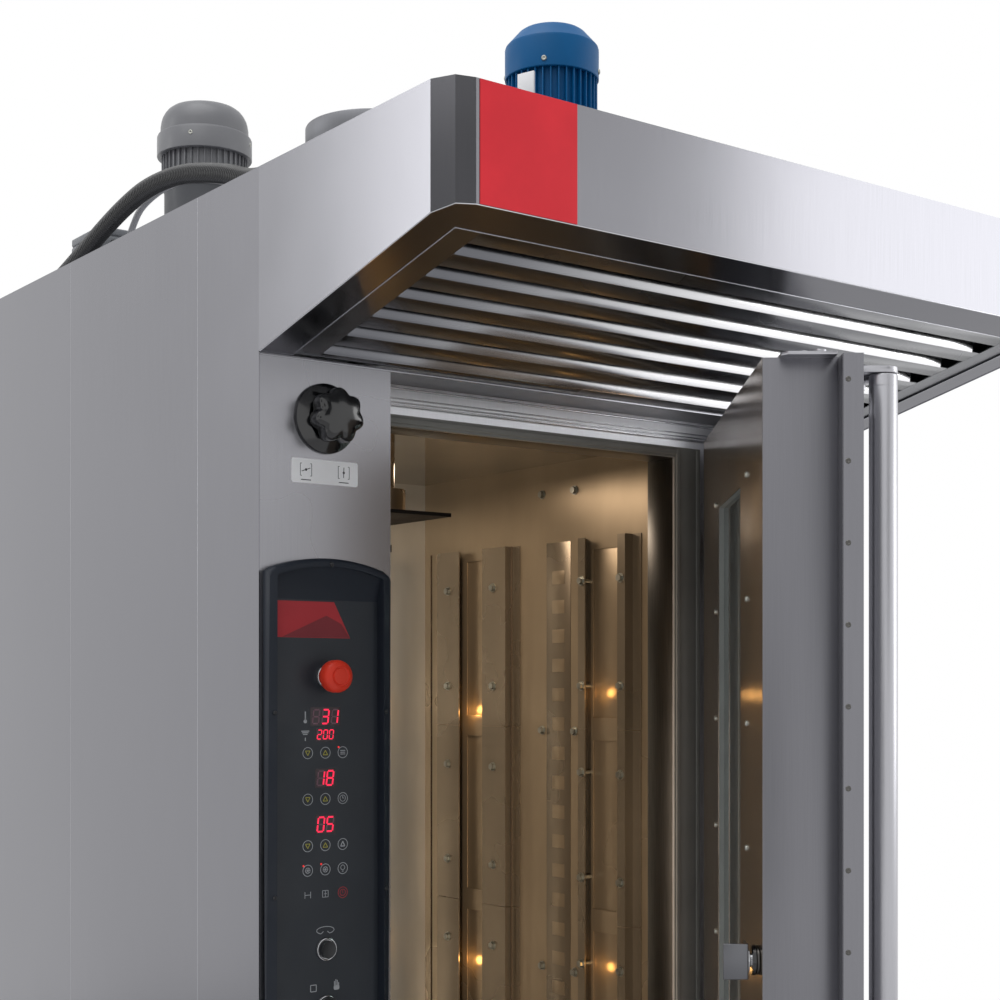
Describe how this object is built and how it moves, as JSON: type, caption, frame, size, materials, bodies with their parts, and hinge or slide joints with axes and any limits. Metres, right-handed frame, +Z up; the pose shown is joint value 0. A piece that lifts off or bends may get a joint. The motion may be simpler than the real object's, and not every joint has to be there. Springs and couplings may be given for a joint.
{
  "type": "rotating rack oven",
  "caption": "Rotating rack oven: insulated chamber with a turning rack carrier, side-hung door with a tube handle, control column and slotted steam hood with roof motors.",
  "frame": {"origin": "on the floor, under the axis of the rack spindle", "axes": "+Z up, the oven's front faces -Y, +X towards the hinge column"},
  "size_m": [1.076, 2.0247, 2.711],
  "materials": {
    "brushed_steel": "vertical brushed stainless steel",
    "polished_steel": "polished stainless steel",
    "chamber_steel": "stainless steel with a warm heat tint",
    "plain_steel": "plain stainless steel",
    "baffle_steel": "dark reflecting stainless steel",
    "frame_steel": "grey painted steel",
    "dark_steel": "heat-darkened steel",
    "mineral_wool": "mineral wool",
    "seal_rubber": "dark grey silicone",
    "pale_rubber": "pale silicone",
    "blue_paint": "blue enamel",
    "grey_paint": "grey enamel",
    "extractor_steel": "plain",
    "red_sign": "glossy red",
    "fascia_plastic": "fine-grained dark blue-grey",
    "panel_film": "dark film",
    "black_gloss": "glossy black",
    "stop_red": "red",
    "conduit_black": "black",
    "cable_grey": "light grey",
    "pane_glass": "clear",
    "lamp_glass": "frosted warm"
  },
  "bodies": {
    "oven": {"base_frame": "frame_steel", "entry_ramp": "polished_steel", "insulation_packs": "mineral_wool", "plenum_shell": "plain_steel", "chamber_floor": "chamber_steel", "left_wall": "chamber_steel", "right_wall": "chamber_steel", "back_wall": "plain_steel", "chamber_ceiling": "chamber_steel", "air_louvres": "chamber_steel", "wall_bolts": "plain_steel", "heater_partitions": "plain_steel", "heater_elements": "dark_steel", "chamber_lamps": "lamp_glass", "left_panels": "brushed_steel", "right_panels": "brushed_steel", "rear_panel": "brushed_steel", "roof_panel": "brushed_steel", "left_column": "brushed_steel", "right_column": "brushed_steel", "door_frame": "polished_steel", "frame_gasket": "seal_rubber", "extractor_box": "polished_steel", "steam_duct": "polished_steel", "hood_shell": "brushed_steel", "hood_baffle": "baffle_steel", "sign_plate": "red_sign", "flue_pipe": "polished_steel", "extractor_motor": "blue_paint", "fan_motor": "grey_paint", "gear_motor": "grey_paint", "spindle_bearing": "polished_steel", "knob_bezel": "black_gloss", "control_fascia": "fascia_plastic", "control_panel": "panel_film", "switch_collars": "polished_steel", "junction_box": "grey_paint", "roof_conduit": "conduit_black", "grey_cable": "cable_grey", "column_hinges": "polished_steel"},
    "door": {"door_skin": "brushed_steel", "door_liner": "polished_steel", "door_core": "mineral_wool", "window_frame": "polished_steel", "door_glass": "pane_glass", "window_gasket": "pale_rubber", "door_hinges": "polished_steel", "handle_brackets": "polished_steel", "door_fittings": "polished_steel"},
    "handle": {"door_handle": "polished_steel"},
    "latch": {"latch_tongue": "polished_steel"},
    "rack_drive": {"rack_spindle": "dark_steel", "rack_carrier": "dark_steel"},
    "circulation_wheel": {"circulation_fan": "polished_steel"},
    "extractor_wheel": {"extractor_fan": "extractor_steel"},
    "damper": {"damper_knob": "black_gloss", "damper_flap": "polished_steel"},
    "emergency_stop": {"estop_button": "stop_red"},
    "start_button": {"push_button": "black_gloss"},
    "selector": {"selector_knob": "black_gloss"}
  },
  "joints": [
    {"name": "door_swing", "type": "hinge", "parent": "oven", "child": "door", "pos_m": [0.3306, -0.564, 1.02], "axis": [0, 0, 1], "range_deg": [-52, 43]},
    {"name": "handle_pull", "type": "hinge", "parent": "door", "child": "handle", "pos_m": [0.00851, -1.02174, 1.185], "axis": [0, 0, 1], "range_deg": [0, 20], "stiffness_Nm_per_rad": 4},
    {"name": "latch_turn", "type": "hinge", "parent": "door", "child": "latch", "pos_m": [-0.12905, -0.9899, 1.262], "axis": [-0.788, 0.6157, 0], "range_deg": [0, 80]},
    {"name": "rack_spin", "type": "hinge", "parent": "oven", "child": "rack_drive", "pos_m": [0, 0, 1.855], "axis": [0, 0, 1], "continuous": true},
    {"name": "circulation_spin", "type": "hinge", "parent": "oven", "child": "circulation_wheel", "pos_m": [0, 0.643, 1.76], "axis": [0, 0, 1], "continuous": true},
    {"name": "extractor_spin", "type": "hinge", "parent": "oven", "child": "extractor_wheel", "pos_m": [0, -0.45, 2.12], "axis": [0, 0, 1], "continuous": true},
    {"name": "damper_turn", "type": "hinge", "parent": "oven", "child": "damper", "pos_m": [-0.446, -0.559, 1.905], "axis": [0, 1, 0], "range_deg": [0, 90]},
    {"name": "emergency_press", "type": "slide", "parent": "oven", "child": "emergency_stop", "axis": [0, 1, 0], "range_m": [0, 0.006]},
    {"name": "start_press", "type": "slide", "parent": "oven", "child": "start_button", "axis": [0, 1, 0], "range_m": [0, 0.003], "stiffness_N_per_m": 800},
    {"name": "selector_turn", "type": "hinge", "parent": "oven", "child": "selector", "pos_m": [-0.447, -0.57, 1.18], "axis": [0, 1, 0], "range_deg": [-45, 45]}
  ],
  "couplings": [
    {"joint": "latch_turn", "follows": "handle_pull", "ratio": 4}
  ]
}
